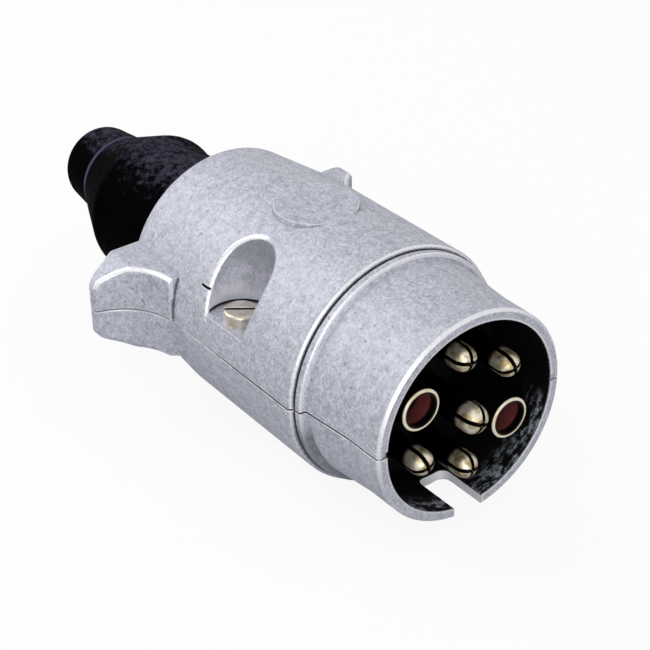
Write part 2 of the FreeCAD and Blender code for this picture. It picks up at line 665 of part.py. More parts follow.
# --- Clamp and boot -----------------------------------------------------------------------------

def cable_clamp():
    """Strap with an arch over the cable and a foot each side."""
    x_from = CLAMP_X - CLAMP_WIDTH / 2
    x_to = CLAMP_X + CLAMP_WIDTH / 2
    foot_top = CLAMP_SEAT_Z + CLAMP_THICKNESS
    half_span = CLAMP_SCREW_Y + CLAMP_FOOT
    feet = block(x_from, x_to, -half_span, half_span, CLAMP_SEAT_Z, foot_top)
    arch = tube_along_x(CABLE_R + CLAMP_THICKNESS, x_from, x_to)
    arch = arch.common(block(x_from, x_to, -BODY_R, BODY_R, CLAMP_SEAT_Z, BODY_R))
    clamp = feet.fuse(arch).cut(tube_along_x(CABLE_R, x_from, x_to))
    for side in (-1, 1):
        base = FreeCAD.Vector(CLAMP_X, side * CLAMP_SCREW_Y, CLAMP_SEAT_Z)
        clamp = clamp.cut(Part.makeCylinder(CLAMP_SCREW_R + SCREW_HOLE_FIT, CLAMP_THICKNESS, base))
    return clamp.removeSplitter()


def cable_boot():
    """Rubber boot: a flange inside the rear wall, a full part, a cone and a tapering end."""
    flange_x = REAR_LIP_X + BOOT_FLANGE_THICKNESS
    lip_r = REAR_OPENING_R - FIT
    bore_in_x = BOOT_END_X + BOOT_BORE_LENGTH
    return revolved([
        (flange_x, lip_r - BOOT_WALL, 0),
        (flange_x, REAR_BORE_R - FIT, BOOT_FLANGE_EDGE),
        (REAR_LIP_X, REAR_BORE_R - FIT, 0),
        (REAR_LIP_X, lip_r, 0),
        (REAR_X, lip_r, 0),
        (REAR_X, BOOT_R, BOOT_FOOT_ROUND),
        (BOOT_CONE_X, BOOT_FULL_R, BOOT_FULL_ROUND),
        (BOOT_CREASE_X, BOOT_CREASE_R, BOOT_CREASE_ROUND),
        (BOOT_CREASE_X - BOOT_SHOULDER_LENGTH, BOOT_SHOULDER_R, BOOT_SHOULDER_ROUND),
        (BOOT_END_X, BOOT_END_R, BOOT_EDGE),
        (BOOT_END_X, BOOT_BORE_R, 0),
        (bore_in_x, BOOT_BORE_R, 0),
        (BOOT_CREASE_X + BOOT_WALL, BOOT_CREASE_R - BOOT_WALL, BOOT_EDGE),
        (BOOT_CONE_X, BOOT_FULL_R - BOOT_WALL, BOOT_FULL_ROUND - BOOT_WALL),
        (REAR_X - BOOT_WALL, BOOT_R - BOOT_WALL, BOOT_EDGE),
        (REAR_X, lip_r - BOOT_WALL, BOOT_EDGE),
    ])


# --- Assembly -----------------------------------------------------------------------------------

def build_parts():
    """Every piece of the plug by its name."""
    outside = shell_envelope().fuse(top_pad()).fuse(ear_pair())
    parts = {
        "upper_shell": upper_shell(outside),
        "lower_shell": lower_shell(outside),
        "shell_screw_upper": shell_screw(1),
        "shell_screw_lower": shell_screw(-1),
        "contact_carrier": contact_carrier(),
        "contact_retainer": contact_retainer(),
        "cable_clamp": cable_clamp(),
        "clamp_screw_left": clamp_screw(-1),
        "clamp_screw_right": clamp_screw(1),
        "cable_boot": cable_boot(),
    }
    for number, (name, kind, angle, radius, slot_turn) in enumerate(contact_layout()):
        barrel_end = CENTRE_BARREL_END_X if kind == "centre" else BARREL_END_X
        parts[name] = contact(kind, angle, radius, slot_turn)
        screw_name = name.replace("contact_pin", "terminal_screw").replace("contact_socket", "terminal_screw")
        parts[screw_name] = terminal_screw(angle, radius, barrel_end, TERMINAL_SLOT_TURN * number)
    return parts


def main():
    os.makedirs("parts", exist_ok=True)
    for name, shape in build_parts().items():
        solids = len(shape.Solids)
        print(f"{name}: {solids} solid, valid {shape.isValid()}, {shape.Volume:.1f} mm3")
        shape.exportStep(f"parts/{name}.step")


main()
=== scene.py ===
import json
import logging
import math
from collections.abc import Sequence
from dataclasses import dataclass
from enum import Enum

import bpy
import numpy as np
from mathutils import Matrix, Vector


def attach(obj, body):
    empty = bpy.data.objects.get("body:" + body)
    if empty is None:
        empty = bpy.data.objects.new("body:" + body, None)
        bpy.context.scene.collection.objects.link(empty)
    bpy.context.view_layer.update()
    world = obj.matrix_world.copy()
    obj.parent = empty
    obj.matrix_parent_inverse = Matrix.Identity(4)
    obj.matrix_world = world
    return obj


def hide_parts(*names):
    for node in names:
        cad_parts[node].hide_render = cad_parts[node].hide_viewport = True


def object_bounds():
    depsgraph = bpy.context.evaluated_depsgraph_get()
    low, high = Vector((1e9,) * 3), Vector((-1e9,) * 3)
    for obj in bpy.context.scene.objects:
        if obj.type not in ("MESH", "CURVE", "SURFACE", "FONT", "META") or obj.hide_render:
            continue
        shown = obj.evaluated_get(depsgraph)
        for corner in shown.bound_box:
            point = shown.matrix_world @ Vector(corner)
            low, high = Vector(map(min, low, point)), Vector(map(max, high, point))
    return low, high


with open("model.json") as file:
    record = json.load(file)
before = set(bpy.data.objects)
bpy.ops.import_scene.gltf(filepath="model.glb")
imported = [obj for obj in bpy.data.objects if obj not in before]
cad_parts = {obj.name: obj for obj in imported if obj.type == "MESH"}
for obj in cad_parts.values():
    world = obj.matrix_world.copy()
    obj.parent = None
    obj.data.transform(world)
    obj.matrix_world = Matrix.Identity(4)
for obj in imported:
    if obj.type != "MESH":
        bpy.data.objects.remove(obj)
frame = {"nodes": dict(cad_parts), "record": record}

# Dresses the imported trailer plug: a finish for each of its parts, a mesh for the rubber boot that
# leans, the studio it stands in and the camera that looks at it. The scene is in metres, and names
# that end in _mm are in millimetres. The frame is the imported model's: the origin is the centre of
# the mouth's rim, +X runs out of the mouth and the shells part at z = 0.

CAD_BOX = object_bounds()
LOG = logging.getLogger("trailer_plug")
MM = 0.001
PHOTO_SIDE = 650            # width and height of the photograph, in pixels
CORNER_RAYS = 12            # rays that look for a hollow corner or a ridge
BEVEL_RAYS = 8              # rays that round the normal at an edge
Socket = bpy.types.NodeSocket
Range = tuple[float, float]
MIDDLE: Range = (0.3, 0.7)  # nearly all of a noise's values lie between these


def linear(colour: str, alpha: float = 1.0) -> tuple[float, float, float, float]:
    """Turns an sRGB hex colour to linear light, by the straight foot and the power of its curve.

    Args:
        colour: six hex digits after a hash.
        alpha: the fourth number to return.

    Returns:
        Red, green and blue in linear light, and alpha.
    """
    parts = np.array([int(colour[i:i + 2], 16) for i in (1, 3, 5)]) / 255.0
    low, high = parts / 12.92, ((parts + 0.055) / 1.055) ** 2.4
    red, green, blue = np.where(parts <= 0.04045, low, high)
    return float(red), float(green), float(blue), alpha


def per_size(size_mm: float) -> float:
    """Gives the texture scale at which one feature of a pattern is size_mm wide."""
    return 1.0 / (size_mm * MM)


def add_node(tree: bpy.types.NodeTree, kind: str, inputs: dict | None = None,
             **settings: object) -> bpy.types.Node:
    """Adds one shader node with its settings and links.

    Args:
        tree: the material's or world's node tree.
        kind: the node's type, without the word ShaderNode.
        inputs: value or output socket for each input socket, by name or number.
        settings: attributes of the node.

    Returns:
        The new node.
    """
    node = tree.nodes.new("ShaderNode" + kind)
    for key, value in settings.items():
        setattr(node, key, value)
    for key, value in (inputs or {}).items():
        if isinstance(value, Socket):
            tree.links.new(value, node.inputs[key])
        else:
            node.inputs[key].default_value = value
    return node


def put_in_scene(thing: bpy.types.Object, turn: np.ndarray, place_mm: np.ndarray) -> None:
    """Links a camera or lamp to the scene.

    Args:
        thing: the new object.
        turn: its own right, up and back as three columns.
        place_mm: where it stands.
    """
    matrix = np.eye(4)
    matrix[:3, :3], matrix[:3, 3] = turn, place_mm * MM
    thing.matrix_world = Matrix(matrix.tolist())
    bpy.context.scene.collection.objects.link(thing)


class Patterns:
    """The patterns that the finishes share, worked out on a piece's own Object coordinates.

    A share is a number from 0 to 1 that says how much of something shows.
    """

    def __init__(self, tree: bpy.types.NodeTree) -> None:
        """Keeps the tree and its coordinates."""
        self.tree = tree
        self.place = add_node(tree, "TexCoord").outputs["Object"]

    def noise(self, size_mm: float, detail: float = 2.0, rough: float = 0.5,
              stretch: tuple[float, float, float] = (1.0, 1.0, 1.0)) -> Socket:
        """Cloudy noise whose patches are size_mm wide, from 0 to 1.

        Args:
            size_mm: width of one patch.
            detail: how many finer octaves ride on it.
            rough: how strong those are.
            stretch: scale of the place along each axis.

        Returns:
            The noise's value.
        """
        place = self.place
        if stretch != (1.0, 1.0, 1.0):
            place = add_node(self.tree, "Mapping", {"Vector": place, "Scale": stretch}).outputs[0]
        return add_node(self.tree, "TexNoise", {
            "Vector": place, "Scale": per_size(size_mm), "Detail": detail, "Roughness": rough,
        }).outputs["Fac"]

    def level(self, value: Socket, low: float, high: float,
              to_low: float = 0.0, to_high: float = 1.0) -> Socket:
        """Carries value smoothly from one range over to another one, and stops at its ends.

        Args:
            value: the number to carry over.
            low: where the range starts.
            high: where it ends.
            to_low: what low becomes.
            to_high: what high becomes.

        Returns:
            The new number.
        """
        return add_node(self.tree, "MapRange", {
            "Value": value, "From Min": low, "From Max": high, "To Min": to_low, "To Max": to_high,
        }, interpolation_type="SMOOTHSTEP").outputs["Result"]

    def ramp(self, length: Socket, start_mm: float, end_mm: float,
             to_start: float = 0.0, to_end: float = 1.0) -> Socket:
        """Works as level does, on a length and with the range in millimetres."""
        return self.level(length, start_mm * MM, end_mm * MM, to_start, to_end)

    def maths(self, operation: str, first: object, second: object = 0.0) -> Socket:
        """Works out one operation on two numbers, without a clamp."""
        return add_node(self.tree, "Math", {0: first, 1: second}, operation=operation).outputs[0]

    def both(self, first: object, second: object) -> Socket:
        """Share where two shares meet, which is their product."""
        return self.maths("MULTIPLY", first, second)

    def either(self, first: object, second: object) -> Socket:
        """The larger of two shares."""
        return self.maths("MAXIMUM", first, second)

    def over(self, length: Socket, limit_mm: float) -> Socket:
        """One where a length is more than limit_mm, else nothing."""
        return self.maths("GREATER_THAN", length, limit_mm * MM)

    def under(self, length: Socket, limit_mm: float) -> Socket:
        """One where a length is less than limit_mm, else nothing."""
        return self.maths("LESS_THAN", length, limit_mm * MM)

    def band(self, length: Socket, start_mm: float, end_mm: float) -> Socket:
        """One where a length lies between start_mm and end_mm, else nothing."""
        return self.both(self.over(length, start_mm), self.under(length, end_mm))

    def mix(self, share: object, first: object, second: object) -> Socket:
        """Mixes two colours.

        Args:
            share: how much of the second shows.
            first: colour or socket.
            second: colour or socket.

        Returns:
            The mixed colour.
        """
        node = add_node(self.tree, "Mix", data_type="RGBA")
        for key, value in zip((0, 6, 7), (share, first, second)):
            if isinstance(value, Socket):
                self.tree.links.new(value, node.inputs[key])
            else:
                node.inputs[key].default_value = value
        return node.outputs[2]

    def coats(self, colour: Socket, layers: Sequence[tuple[Socket, str]]) -> Socket:
        """Lays colours over one another.

        Args:
            colour: what lies undermost.
            layers: share and hex colour of each coat, from the lowest up.

        Returns:
            The colour with all coats on it.
        """
        for share, coat in layers:
            colour = self.mix(share, colour, linear(coat))
        return colour

    def rounded(self, radius_mm: float) -> Socket:
        """Gives the normal as if every sharp edge were rounded over radius_mm."""
        return add_node(self.tree, "Bevel", {"Radius": radius_mm * MM},
                        samples=BEVEL_RAYS).outputs[0]

    def ridges(self, reach_mm: float, free: Range = (0.92, 0.62)) -> Socket:
        """Finds edges that stand out: rays into the solid meet another face within reach_mm.

        Args:
            reach_mm: how far the rays look.
            free: share of free rays where a ridge starts to show, and where it is full.

        Returns:
            The share of the ridge that shows.
        """
        inward = add_node(self.tree, "AmbientOcclusion", {"Distance": reach_mm * MM},
                          samples=CORNER_RAYS, inside=True, only_local=True)
        return self.level(inward.outputs["AO"], *free)

    def corners(self, reach_mm: float, free: Range = (0.85, 0.40)) -> Socket:
        """Finds hollow corners and slots: rays out of the solid meet it again within reach_mm.

        Args:
            reach_mm: how far the rays look.
            free: share of free rays where a corner starts to show, and where it is full.

        Returns:
            The share of the corner that shows.
        """
        outward = add_node(self.tree, "AmbientOcclusion", {"Distance": reach_mm * MM},
                           samples=CORNER_RAYS, only_local=True)
        return self.level(outward.outputs["AO"], *free)

    def off_line(self, centre_mm: tuple[float, float, float],
                 across: tuple[float, float, float]) -> Socket:
        """Distance from a line that runs along one axis.

        Args:
            centre_mm: a place on the line.
            across: one along each axis that the distance counts, and nothing along the line's.

        Returns:
            The distance.
        """
        away = tuple(-where * MM for where in centre_mm)
        here = add_node(self.tree, "Mapping", {"Vector": self.place, "Location": away,
                                               "Scale": across}).outputs[0]
        return add_node(self.tree, "VectorMath", {0: here}, operation="LENGTH").outputs["Value"]

    def off_axis(self, centre_mm: tuple[float, float] = (0.0, 0.0)) -> Socket:
        """Distance from a line along X through a place in Y and Z, or from the plug's own axis."""
        return self.off_line((0.0, *centre_mm), (0.0, 1.0, 1.0))

    def off_upright(self, x_mm: float, y_mm: float) -> Socket:
        """Distance from an upright line through a place in X and Y."""
        return self.off_line((x_mm, y_mm, 0.0), (1.0, 1.0, 0.0))

    def towards(self, arrow: tuple[float, float, float]) -> Socket:
        """Place along an arrow of length one."""
        return add_node(self.tree, "VectorMath", {0: self.place, 1: arrow},
                        operation="DOT_PRODUCT").outputs["Value"]

    def facing_up(self) -> Socket:
        """How far a surface faces up, from -1 to 1."""
        return add_node(self.tree, "SeparateXYZ", {
            0: add_node(self.tree, "NewGeometry").outputs["Normal"]}).outputs[2]

    def parts(self) -> list[Socket]:
        """Place along X, Y and Z."""
        return list(add_node(self.tree, "SeparateXYZ", {0: self.place}).outputs)

    def bump(self, height: Socket, depth_mm: float, strength: float = 1.0,
             normal: Socket | None = None) -> Socket:
        """Tilts the normal by a height pattern.

        Args:
            height: the pattern, from 0 to 1.
            depth_mm: how deep its full range is.
            strength: share of the tilt that shows.
            normal: a normal to start from.

        Returns:
            The tilted normal.
        """
        inputs = {"Strength": strength, "Distance": depth_mm * MM, "Height": height}
        if normal is not None:
            inputs["Normal"] = normal
        return add_node(self.tree, "Bump", inputs).outputs[0]


@dataclass(frozen=True)
class Finish:
    """A finish: its name, and what its surface shader has the same all over."""

    name: str
    metallic: float = 0.0
    specular: float = 0.5

    def material(self) -> bpy.types.Material:
        """Makes the material and paints it.

        Returns:
            The material, ready for a piece's slot.
        """
        material = bpy.data.materials.new(self.name)
        material.use_nodes = True
        tree = material.node_tree
        tree.nodes.clear()
        shader = add_node(tree, "BsdfPrincipled", {"Metallic": self.metallic,
                                                   "Specular IOR Level": self.specular})
        add_node(tree, "OutputMaterial", {"Surface": shader.outputs[0]})
        self.paint(Patterns(tree), shader)
        return material

    def paint(self, patterns: Patterns, shader: bpy.types.Node) -> None:
        """Puts the finish's colour, roughness and bump on the shader."""
        raise NotImplementedError

    @staticmethod
    def put(patterns: Patterns, shader: bpy.types.Node, **sockets: Socket) -> None:
        """Links outputs to the shader's sockets, with underscores for the spaces in their names."""
        for key, value in sockets.items():
            patterns.tree.links.new(value, shader.inputs[key.replace("_", " ")])


@dataclass(frozen=True)
class CastAluminium(Finish):
    """Die-cast aluminium alloy, tumbled and left bare.

    The skin of a casting is a satin grey with a faint blue cast. It has a mottled grain from the
    way the metal froze and small dark pits. Edges carry painted highlights, and hollows painted
    shade. Inside the mouth it is painted black as shade, with patches of painted light low down.
    """

    pale: str = "#e0dee9"
    mid: str = "#bbc0cb"
    dark: str = "#7a7c86"
    blue: str = "#828d98"
    # painted highlight: glints on edges, on the keyway's walls and low in the screw pockets
    painted_highlight: str = "#fbfbff"
    # painted shade: in hollow corners, along the parting, under the groove and in pocket corners
    painted_shade: str = "#2a2b30"
    # painted shade: the black of the mouth's unlit inside, and of the slit beside the upper pocket
    inside: str = "#020203"
    # painted light: the patches where light falls on the mouth's lower wall
    patch: str = "#bcc5d2"

    grain_mm: float = 0.58      # grain of the chilled skin
    grain_levels: Range = (0.38, 0.64)
    grain_rough: Range = (0.56, 0.76)
    cloud_mm: float = 1.9       # cloudy patches left by the die's release wax
    cloud_levels: Range = (0.38, 0.72)
    cloud_share: float = 0.24
    blotch_mm: float = 1.0      # dull bluish spots
    blotch_levels: Range = (0.52, 0.72)
    blotch_share: float = 0.34
    pit_mm: float = 1.1         # spacing of the small pits
    pit_levels: Range = (0.30, 0.22)
    pit_share: float = 0.45
    corner_mm: float = 1.1      # how far painted shade reaches out of a hollow corner
    corner_share: float = 0.9
    ridge_mm: float = 0.4       # width of the painted highlight on a ridge
    ridge_share: float = 0.4
    relief_mm: float = 0.05     # depth of the grain, the clouds and the pits
    relief_share: float = 0.9
    rounding_mm: float = 0.3    # what tumbling has left of the sharp edges

    edge_highlight_share: float = 0.9
    edge_highlight_gloss: float = 0.32      # how much smoother the edges with a painted highlight are
    edge_highlight_bands: tuple[tuple[float, float, float], ...] = (
        (-0.62, 0.2, 20.95),        # bevel round the rim: from x, to x, beyond this radius
        (-20.3, -19.75, 22.9),      # front edge of the bead
        (-22.35, -21.85, 24.1),     # bevel round the body's front
    )
    edge_highlight_height_mm: Range = (-9.0, 2.0)   # the painted highlights are brighter on top, where the light falls
    edge_highlight_least: float = 0.25
    rim_x_mm: float = -0.12     # the rim's inner edge, with a painted highlight too
    rim_r_mm: float = 19.75
    edge_highlight_rings: tuple[tuple[float, float, float, float], ...] = (
        (-44.6, -19.1, 6.84, 7.5),      # rim of the screw pocket: its line, and two radii
        (-61.0, -36.9, 12.35, 13.15),   # edges of the ears' hollow fronts
        (-64.5, 37.5, 12.35, 13.15),
    )
    ring_height_mm: float = 5.0     # how far off the parting the rings show
    ring_front_mm: Range = (-46.6, -44.2)   # and where they fade out in front

    pocket_mm: tuple[float, float] = (-44.6, 19.1)
    pocket_r_mm: float = 6.83
    pocket_floor_mm: float = 6.3
    pocket_margin_mm: float = 0.1           # the shading starts this much below its floor
    pocket_shade_mm: Range = (5.0, 12.0)     # heights above its floor where painted shade darkens the wall
    pocket_shade_share: float = 0.6
    pocket_light_mm: Range = (5.5, 1.5)     # and where painted light brightens it
    pocket_light_share: float = 0.65
    pocket_wall_mm: float = 0.3             # from here up
    pocket_corner_mm: Range = (0.05, 0.55)  # painted shade between its wall and its floor
    pocket_corner_width_mm: float = 0.3
    nick_x_mm: Range = (-53.75, -50.95)     # slit beside the upper pocket, painted black as its shade
    nick_angle_deg: float = 153.3
    nick_half_mm: float = 0.26
    nick_floor_mm: float = 23.8     # a little under its floor, off the plug's axis

    seam_r_mm: float = 21.3     # the parting shows outside this radius
    seam_half_mm: float = 0.16
    seam_glint_mm: float = 4.0   # length of the painted highlight's dashes
    seam_glint_levels: Range = (0.42, 0.56)
    seam_lip_mm: float = 0.5    # painted highlight on the lower shell's edge, below the parting
    seam_fade_mm: Range = (-52.0, -36.0)    # the parting's painted shade fades to its least behind this
    seam_least: float = 0.15
    groove_mm: Range = (-22.1, -18.6)       # groove and bead, with painted shade underneath
    shade_height_mm: Range = (-1.0, -7.0)
    shade_share: float = 0.5

    keyway_half_mm: float = 3.5
    keyway_end_mm: float = -11.5
    keyway_blur_mm: float = 0.05
    mouth_r_mm: float = 19.6    # a little more than the mouth's inner radius
    mouth_blur_mm: float = 0.15
    mouth_front_mm: Range = (-0.1, -0.5)
    mouth_end_mm: float = -22.0
    patch_mm: float = 2.4       # painted light in patches on the mouth's lower wall, near the rim
    lit_patch_stretch: tuple[float, float, float] = (1.8, 0.8, 0.8)
    patch_levels: Range = (0.47, 0.62)
    lit_patch_x_mm: Range = (-1.5, -7.0)        # they fade out inwards
    lit_patch_height_mm: Range = (-6.0, -2.5)   # and upwards

    def skin(self, patterns: Patterns, grain: Socket, cloud: Socket, pits: Socket,
             edge_highlight: Socket) -> Socket:
        """Mottled grain over cloudy patches, with pits, painted shade and painted highlights."""
        blotch = patterns.noise(self.blotch_mm, 2.0, 0.6)
        colour = patterns.mix(patterns.level(grain, *self.grain_levels), linear(self.mid),
                              linear(self.pale))
        colour = patterns.coats(colour, (
            (patterns.level(cloud, *self.cloud_levels, 0.0, self.cloud_share), self.dark),
            (patterns.level(blotch, *self.blotch_levels, 0.0, self.blotch_share), self.blue),
            (patterns.both(pits, self.pit_share), self.dark),
        ))
        # corners, the parting, the groove and the slit get painted shade; edges get painted
        # highlights
        return patterns.coats(self.pocket(patterns, colour), (
            (patterns.both(patterns.corners(self.corner_mm), self.corner_share), self.painted_shade),
            (patterns.both(patterns.ridges(self.ridge_mm), self.ridge_share), self.painted_highlight),
            (patterns.both(edge_highlight, self.edge_highlight_share), self.painted_highlight),
            (self.parting(patterns), self.painted_shade),
            (self.groove(patterns), self.painted_shade),
            (self.nick(patterns), self.inside),
            (self.keyway(patterns), self.painted_highlight),
        ))

    def pocket(self, patterns: Patterns, colour: Socket) -> Socket:
        """Paints shade high up a screw pocket's wall, light near its floor, and shade in its corner.

        The two pockets lie half a turn round the plug's axis from each other. On the far side of
        the parting from a pocket, a whole metre is added to the distance from its line.

        Args:
            patterns: the finish's patterns.
            colour: the skin's colour.

        Returns:
            The colour with both pockets in it.
        """
        height = patterns.parts()[2]
        tall = patterns.maths("ABSOLUTE", height)
        along_mm, sideways_mm = self.pocket_mm
        off = patterns.maths("MINIMUM", *(
            patterns.maths("ADD", patterns.off_upright(along_mm, -side * sideways_mm),
                           patterns.under(patterns.both(height, side), 0.0))
            for side in (1.0, -1.0)))
        floor = self.pocket_floor_mm
        shade_from, shade_to = (floor + above for above in self.pocket_shade_mm)
        light_from, light_to = (floor + above for above in self.pocket_light_mm)
        corner_from, corner_to = (floor + above for above in self.pocket_corner_mm)
        floor_light = patterns.both(
            patterns.ramp(tall, light_from, light_to, 0.0, self.pocket_light_share),
            patterns.over(tall, floor + self.pocket_wall_mm))
        corner = patterns.both(patterns.band(tall, corner_from, corner_to),
                               patterns.over(off, self.pocket_r_mm - self.pocket_corner_width_mm))
        # painted shade high on the wall and in the corner, painted light near the floor
        shade = patterns.coats(colour, (
            (patterns.ramp(tall, shade_from, shade_to, 0.0, self.pocket_shade_share), self.dark),
            (floor_light, self.painted_highlight),
            (corner, self.painted_shade),
        ))
        inside = patterns.both(patterns.under(off, self.pocket_r_mm),
                               patterns.over(tall, floor - self.pocket_margin_mm))
        return patterns.mix(inside, colour, shade)

    def nick(self, patterns: Patterns) -> Socket:
        """Share of the slit beside the upper pocket, painted black as its shade."""
        angle = math.radians(self.nick_angle_deg)
        across = patterns.towards((0.0, -math.sin(angle), math.cos(angle)))
        outward = patterns.towards((0.0, math.cos(angle), math.sin(angle)))
        within = patterns.both(patterns.band(across, -self.nick_half_mm, self.nick_half_mm),
                               patterns.over(outward, self.nick_floor_mm))
        return patterns.both(within, patterns.band(patterns.parts()[0], *self.nick_x_mm))

    def seam(self, patterns: Patterns, start_mm: float, end_mm: float) -> Socket:
        """Share of a strip along the parting, between two heights, on the outside."""
        along, _, height = patterns.parts()
        outside = patterns.either(patterns.over(patterns.off_axis(), self.seam_r_mm),
                                  patterns.over(along, self.rim_x_mm))
        return patterns.both(outside, patterns.band(height, start_mm, end_mm))

    def parting(self, patterns: Patterns) -> Socket:
        """Share of the painted shade along the parting between the shells, that fades towards the
        rear.
        """
        return patterns.both(self.seam(patterns, -self.seam_half_mm, self.seam_half_mm),
                             patterns.ramp(patterns.parts()[0], *self.seam_fade_mm,
                                           self.seam_least, 1.0))

    def groove(self, patterns: Patterns) -> Socket:
        """Share of the painted shade in the groove and on the bead, underneath."""
        along, _, height = patterns.parts()
        below = patterns.ramp(height, *self.shade_height_mm, 0.0, self.shade_share)
        return patterns.both(below, patterns.band(along, *self.groove_mm))

    def edge_highlight(self, patterns: Patterns) -> Socket:
        """Share of the painted highlights on edges, brighter on top."""
        along, _, height = patterns.parts()
        off = patterns.off_axis()
        share = patterns.both(patterns.over(along, self.rim_x_mm),
                              patterns.under(off, self.rim_r_mm))
        for start, end, beyond in self.edge_highlight_bands:
            share = patterns.either(share, patterns.both(patterns.band(along, start, end),
                                                         patterns.over(off, beyond)))
        share = patterns.both(share, patterns.ramp(height, *self.edge_highlight_height_mm,
                                                   self.edge_highlight_least, 1.0))
        behind, ahead = self.ring_front_mm
        clear = patterns.both(patterns.over(height, self.ring_height_mm),
                              patterns.ramp(along, ahead, behind))
        for x, y, inner, outer in self.edge_highlight_rings:
            ring = patterns.band(patterns.off_upright(x, y), inner, outer)
            share = patterns.either(share, patterns.both(clear, ring))
        # painted highlight in dashes on the lower shell's edge along the parting
        painted_glint = patterns.level(patterns.noise(self.seam_glint_mm, 1.0), *self.seam_glint_levels)
        lip = self.seam(patterns, -self.seam_lip_mm, -self.seam_half_mm)
        return patterns.either(share, patterns.both(painted_glint, lip))

    def keyway(self, patterns: Patterns) -> Socket:
        """Share of the keyway's walls, which get a painted highlight."""
        along, sideways, height = patterns.parts()
        within = patterns.ramp(patterns.maths("ABSOLUTE", sideways),
                               self.keyway_half_mm + self.keyway_blur_mm, self.keyway_half_mm)
        ahead = patterns.ramp(along, self.keyway_end_mm - self.keyway_blur_mm, self.keyway_end_mm)
        return patterns.both(patterns.both(within, patterns.under(height, 0.0)), ahead)

    def mouth(self, patterns: Patterns) -> Socket:
        """Share of the painted black shade inside: within the mouth's radius and behind its rim."""
        along = patterns.parts()[0]
        within = patterns.ramp(patterns.off_axis(), self.mouth_r_mm + self.mouth_blur_mm,
                               self.mouth_r_mm)
        behind = patterns.ramp(along, *self.mouth_front_mm)
        return patterns.both(patterns.both(within, behind),
                             patterns.over(along, self.mouth_end_mm))

    def mouth_shade_and_light(self, patterns: Patterns) -> Socket:
        """Painted black shade on the mouth's wall, with painted light in patches low down near the
        rim.
        """
        along, _, height = patterns.parts()
        lit_patches = patterns.level(patterns.noise(self.patch_mm, 5.0, 0.75, self.lit_patch_stretch),
                              *self.patch_levels)
        fade = patterns.either(patterns.ramp(along, *self.lit_patch_x_mm),
                               patterns.ramp(height, *self.lit_patch_height_mm))
        shade_with_light = patterns.mix(lit_patches, linear(self.inside), linear(self.patch))
        return patterns.mix(fade, shade_with_light, linear(self.inside))

    def paint(self, patterns: Patterns, shader: bpy.types.Node) -> None:
        """The skin outside, the painted black shade inside the mouth, and the grain's relief."""
        cloud = patterns.noise(self.cloud_mm, 3.0, 0.55)
        grain = patterns.noise(self.grain_mm, 3.0, 0.7)
        pits = patterns.level(patterns.noise(self.pit_mm, 1.0, 0.4), *self.pit_levels)
        edge_highlight = self.edge_highlight(patterns)
        colour = patterns.mix(self.mouth(patterns), self.skin(patterns, grain, cloud, pits, edge_highlight),
                              self.mouth_shade_and_light(patterns))
        rough = patterns.level(grain, *MIDDLE, *self.grain_rough)
        rough = patterns.maths("SUBTRACT", rough, patterns.both(edge_highlight, self.edge_highlight_gloss))
        height = patterns.maths("SUBTRACT", patterns.maths("ADD", grain, cloud), pits)
        normal = patterns.bump(height, self.relief_mm, self.relief_share,
                               patterns.rounded(self.rounding_mm))
        self.put(patterns, shader, Base_Color=colour, Roughness=rough, Normal=normal)


@dataclass(frozen=True)
class MouldedRubber(Finish):
    """Black rubber from a mould: deep matt black, with dust and painted sheen on top in patches.

    Along its crease runs a pale painted highlight.
    """

    deep: str = "#010102"
    # dust with a painted sheen, on surfaces that face up
    dusty_sheen: str = "#413e4e"
    # painted highlight along the crease
    painted_crease_highlight: str = "#4b4a62"
    grain_mm: float = 0.35
    cloud_mm: float = 1.7
    dust_and_sheen_levels: Range = (1.28, 1.66)   # of how far it faces up, and its cloudiness
    rough_levels: Range = (0.5, 0.66)
    crease_mm: float = -118.7
    crease_half_mm: float = 0.85
    crease_core: float = 0.3            # share of its width that is full
    crease_levels: Range = (-0.4, 1.0)
    relief_mm: float = 0.02
    relief_share: float = 0.5

    def paint(self, patterns: Patterns, shader: bpy.types.Node) -> None:
        """A near black with dust and painted sheen in patches on top, with a fine grain in its skin.
        """
        cloud = patterns.noise(self.cloud_mm, 3.0, 0.65)
        grain = patterns.noise(self.grain_mm, 2.0, 0.6)
        dust_and_sheen = patterns.maths("ADD", patterns.facing_up(), cloud)
        off = patterns.maths("ABSOLUTE", patterns.maths("SUBTRACT", patterns.parts()[0],
                                                        self.crease_mm * MM))
        crease = patterns.both(
            patterns.ramp(off, self.crease_half_mm, self.crease_core * self.crease_half_mm),
            patterns.level(dust_and_sheen, *self.crease_levels))
        colour = patterns.mix(patterns.level(dust_and_sheen, *self.dust_and_sheen_levels), linear(self.deep),
                              linear(self.dusty_sheen))
        self.put(patterns, shader, Base_Color=patterns.coats(colour, [(crease, self.painted_crease_highlight)]),
                 Roughness=patterns.level(cloud, *MIDDLE, *self.rough_levels),
                 Normal=patterns.bump(grain, self.relief_mm, self.relief_share))


